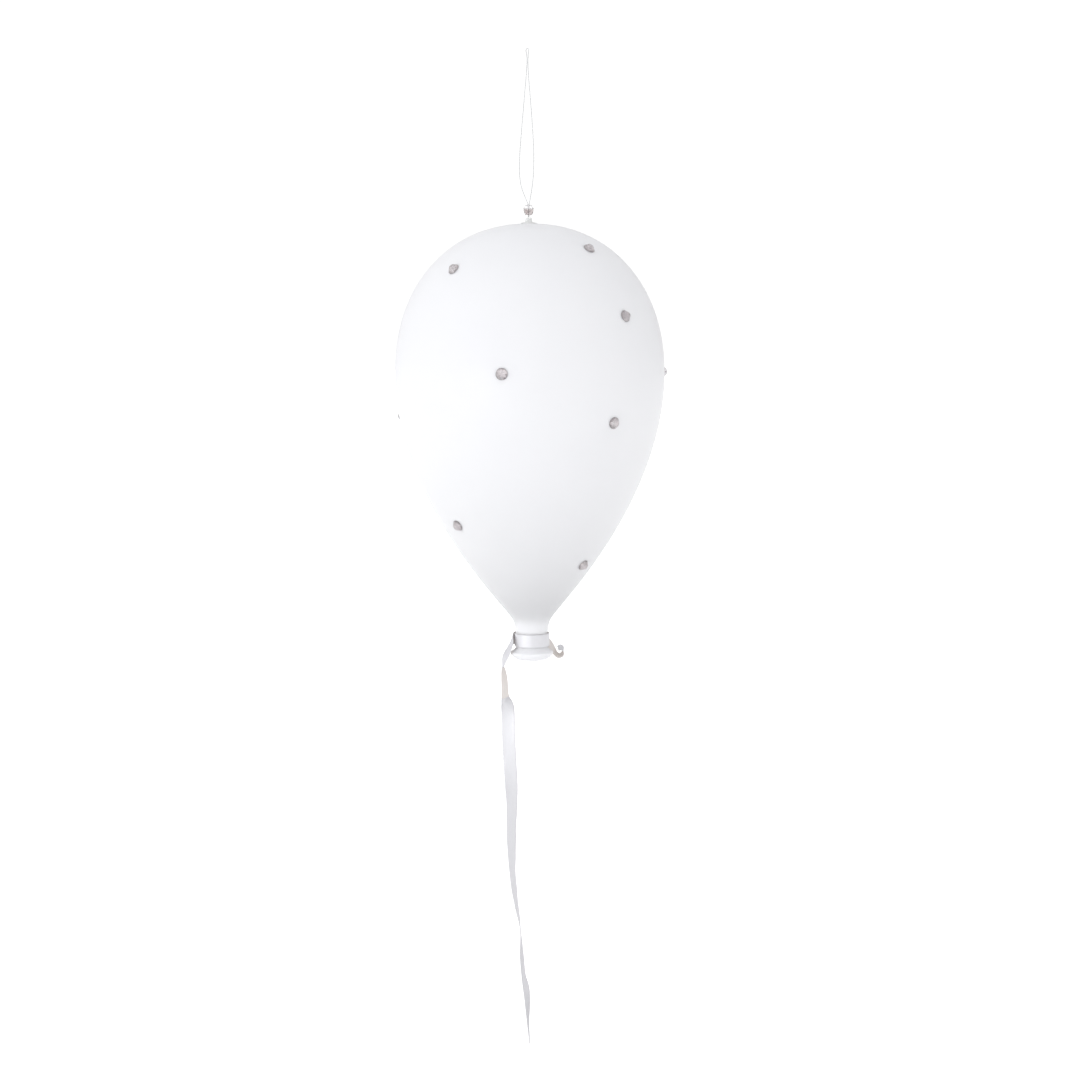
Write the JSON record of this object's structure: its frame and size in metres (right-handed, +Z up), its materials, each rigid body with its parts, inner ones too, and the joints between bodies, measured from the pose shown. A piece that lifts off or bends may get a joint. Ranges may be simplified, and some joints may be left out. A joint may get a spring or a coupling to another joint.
{
  "type": "hanging balloon ornament",
  "caption": "Balloon-shaped hanging ornament of white glass with flat-back crystals, a faceted bead on a nylon loop, and a satin ribbon tied round its open neck.",
  "frame": {"origin": "crown of the nylon loop, where a hook bears", "axes": "+Z up along the hanging axis, front faces -Y, +X to the viewer's right"},
  "size_m": [0.2021, 0.2011, 0.7509],
  "materials": {
    "opal_glass": "satin white opal, soft sheen",
    "clear_glass": "cut facets, polished",
    "clear_plastic": "clear moulded plastic, polished",
    "steel": "plain stamped washer",
    "nylon_line": "clear single-strand nylon",
    "satin_ribbon": "white single-face satin, duller on its reverse"
  },
  "bodies": {
    "loop": {"hanging_loop": "nylon_line"},
    "bead": {"top_bead": "clear_glass"},
    "bend": {"line_bend": "nylon_line"},
    "line_end": {"line_lower": "nylon_line", "line_knot": "nylon_line"},
    "balloon": {"balloon_shell": "opal_glass", "hanger_sleeve": "clear_plastic", "retaining_washer": "steel", "crystal_01": "clear_glass", "crystal_02": "clear_glass", "crystal_03": "clear_glass", "crystal_04": "clear_glass", "crystal_05": "clear_glass", "crystal_06": "clear_glass", "crystal_07": "clear_glass", "crystal_08": "clear_glass", "crystal_09": "clear_glass", "crystal_10": "clear_glass", "crystal_11": "clear_glass", "crystal_12": "clear_glass", "crystal_13": "clear_glass", "crystal_14": "clear_glass"},
    "ribbon_collar": {"ribbon_band": "satin_ribbon", "ribbon_knot": "satin_ribbon", "ribbon_strap": "satin_ribbon", "ribbon_short_end": "satin_ribbon"},
    "tail_top": {"ribbon_tail_upper": "satin_ribbon"},
    "tail": {"ribbon_tail_lower": "satin_ribbon"}
  },
  "joints": [
    {"name": "bead_slide", "type": "slide", "parent": "loop", "child": "bead", "axis": [0, 0, 1], "range_m": [0, 0.06], "deforming": ["hanging_loop"]},
    {"name": "tilt_side", "type": "hinge", "parent": "loop", "child": "bend", "pos_m": [0, 0, -0.12125], "axis": [0, 1, 0], "range_deg": [-35, 35]},
    {"name": "tilt_fore_aft", "type": "hinge", "parent": "bend", "child": "line_end", "pos_m": [0, 0, -0.12125], "axis": [1, 0, 0], "range_deg": [-35, 35]},
    {"name": "balloon_spin", "type": "hinge", "parent": "line_end", "child": "balloon", "pos_m": [0, 0, -0.13], "axis": [0, 0, 1], "continuous": true},
    {"name": "ribbon_turn", "type": "hinge", "parent": "balloon", "child": "ribbon_collar", "pos_m": [0, 0, -0.4355], "axis": [0, 0, 1], "continuous": true},
    {"name": "tail_side", "type": "hinge", "parent": "ribbon_collar", "child": "tail_top", "pos_m": [-0.022, 0, -0.456], "axis": [0, 1, 0], "range_deg": [-60, 60]},
    {"name": "tail_fold", "type": "hinge", "parent": "tail_top", "child": "tail", "pos_m": [-0.0201, 0, -0.4812], "axis": [0.6559, 0.7549, 0], "range_deg": [-50, 50]}
  ]
}
